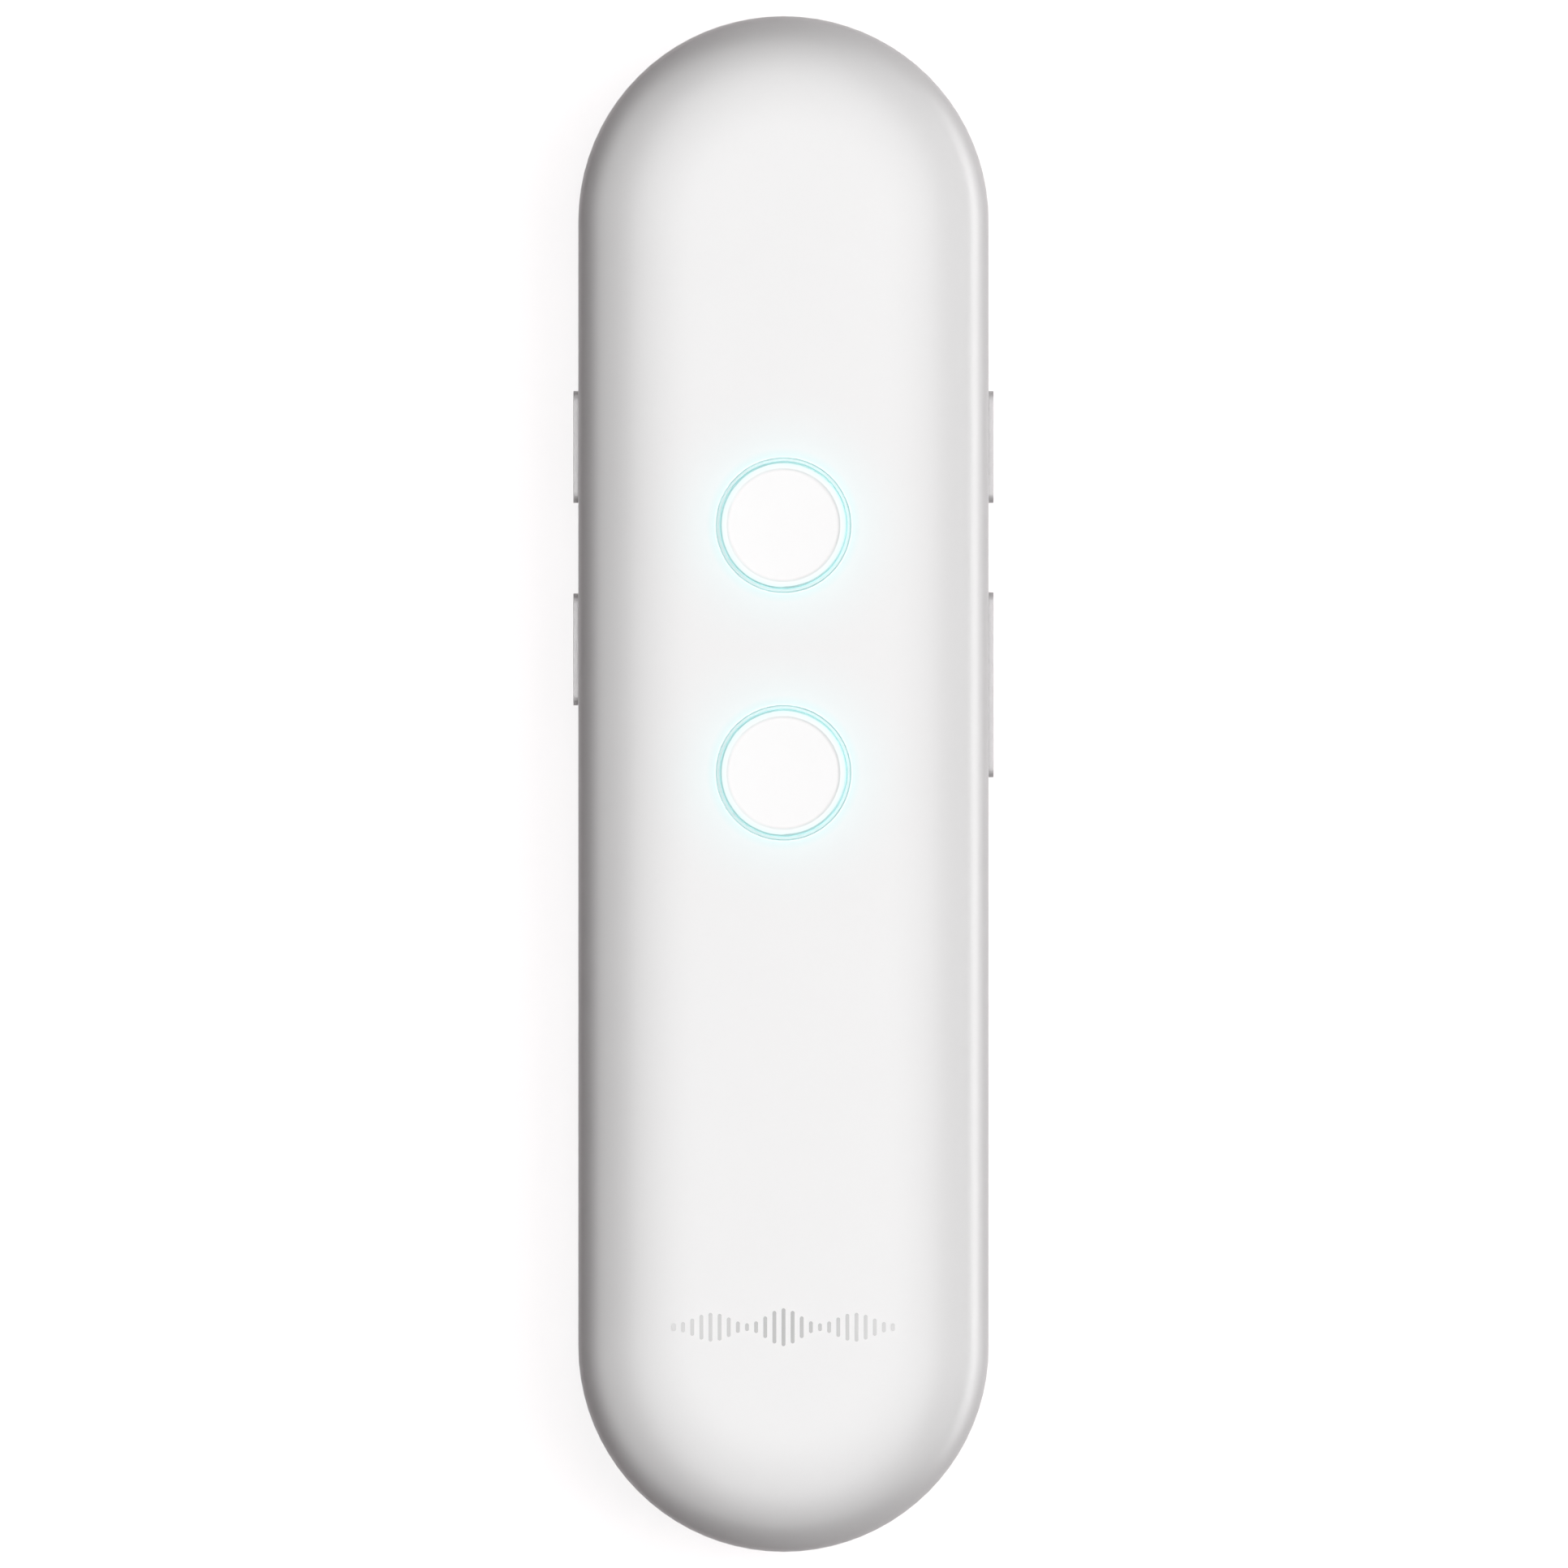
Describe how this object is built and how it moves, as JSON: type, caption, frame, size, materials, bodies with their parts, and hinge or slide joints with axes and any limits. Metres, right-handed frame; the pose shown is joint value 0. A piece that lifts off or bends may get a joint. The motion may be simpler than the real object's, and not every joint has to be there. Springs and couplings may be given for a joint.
{
  "type": "handheld voice translator",
  "caption": "Capsule-shaped handheld voice translator with large light-ringed talk buttons on its face, side keys, a volume rocker, a charging port and a rear loudspeaker.",
  "frame": {"origin": "on the surface that the flat back rests on, under the middle of the casing", "axes": "+X to the right of the face, +Y towards the top end, +Z out through the face"},
  "size_m": [0.038, 0.1384, 0.0127],
  "materials": {
    "white_shell": "satin",
    "white_rear": "satin",
    "white_key": "satin",
    "milky_cap": "gloss",
    "clear_light_guide": "gloss",
    "steel": "satin",
    "dark_screw": "satin",
    "grey_silicone": "matte",
    "black_plastic": "matte",
    "cream_plastic": "matte",
    "black_rubber": "matte",
    "board_green": "satin",
    "chip_black": "matte",
    "ceramic_tan": "matte",
    "ceramic_white": "matte",
    "lamp_lens": "gloss",
    "pouch_silver": "satin",
    "tape_white": "matte",
    "wire_red": "satin",
    "wire_black": "satin",
    "copper": "satin",
    "gold": "gloss",
    "foam": "matte",
    "cone_film": "satin",
    "ferrite": "matte"
  },
  "bodies": {
    "case": {"front_shell": "white_shell", "rear_shell": "white_rear", "case_screws": "dark_screw", "screw_plugs": "grey_silicone", "upper_light_ring": "clear_light_guide", "lower_light_ring": "clear_light_guide", "talk_switch_housings": "black_plastic", "talk_switch_covers": "steel", "upper_switch_dome": "steel", "lower_switch_dome": "steel", "side_switch_housings": "black_plastic", "side_switch_frames": "steel", "main_board": "board_green", "board_screws": "dark_screw", "radio_shield": "steel", "processor_chip": "chip_black", "memory_chip": "chip_black", "crystal": "steel", "amplifier_chip": "chip_black", "charger_chip": "chip_black", "power_inductor": "ferrite", "radio_antenna": "ceramic_white", "ring_lamps": "lamp_lens", "capacitors": "ceramic_tan", "resistors": "chip_black", "usb_shell": "steel", "usb_insulator": "black_plastic", "usb_contacts": "gold", "top_microphone": "gold", "bottom_microphone": "gold", "top_microphone_boot": "black_rubber", "bottom_microphone_boot": "black_rubber", "battery_cell": "pouch_silver", "battery_pad": "tape_white", "battery_protection_board": "board_green", "battery_plug": "cream_plastic", "battery_socket": "cream_plastic", "battery_lead_positive": "wire_red", "battery_lead_negative": "wire_black", "speaker_frame": "black_plastic", "speaker_magnet_assembly": "steel", "speaker_surround": "black_rubber", "speaker_gasket": "foam", "speaker_mesh": "wire_black", "speaker_leads": "wire_black"},
    "upper_button": {"upper_talk_button": "milky_cap", "upper_switch_plunger": "black_plastic"},
    "lower_button": {"lower_talk_button": "milky_cap", "lower_switch_plunger": "black_plastic"},
    "power_key": {"power_key": "white_key", "power_key_plunger": "cream_plastic"},
    "mode_key": {"mode_key": "white_key", "mode_key_plunger": "cream_plastic"},
    "replay_key": {"replay_key": "white_key", "replay_key_plunger": "cream_plastic"},
    "volume_rocker": {"volume_rocker": "white_key", "volume_up_plunger": "cream_plastic", "volume_down_plunger": "cream_plastic"},
    "speaker_cone": {"speaker_cone": "cone_film", "speaker_voice_coil": "copper"}
  },
  "joints": [
    {"name": "upper_button_press", "type": "slide", "parent": "case", "child": "upper_button", "axis": [0, 0, -1], "range_m": [0, 0.00025], "stiffness_N_per_m": 3000, "deforming": ["upper_switch_dome"]},
    {"name": "lower_button_press", "type": "slide", "parent": "case", "child": "lower_button", "axis": [0, 0, -1], "range_m": [0, 0.00025], "stiffness_N_per_m": 3000, "deforming": ["lower_switch_dome"]},
    {"name": "power_key_press", "type": "slide", "parent": "case", "child": "power_key", "axis": [1, 0, 0], "range_m": [0, 0.00025], "stiffness_N_per_m": 3000},
    {"name": "mode_key_press", "type": "slide", "parent": "case", "child": "mode_key", "axis": [1, 0, 0], "range_m": [0, 0.00025], "stiffness_N_per_m": 3000},
    {"name": "replay_key_press", "type": "slide", "parent": "case", "child": "replay_key", "axis": [-1, 0, 0], "range_m": [0, 0.00025], "stiffness_N_per_m": 3000},
    {"name": "volume_rock", "type": "hinge", "parent": "case", "child": "volume_rocker", "pos_m": [0.01645, 0.00895, 0.0058], "axis": [0, 0, 1], "range_deg": [-1.5, 1.5], "stiffness_Nm_per_rad": 0.1},
    {"name": "cone_travel", "type": "slide", "parent": "case", "child": "speaker_cone", "axis": [0, 0, -1], "range_m": [-0.0002, 0.0002], "stiffness_N_per_m": 500, "deforming": ["speaker_surround"]}
  ]
}
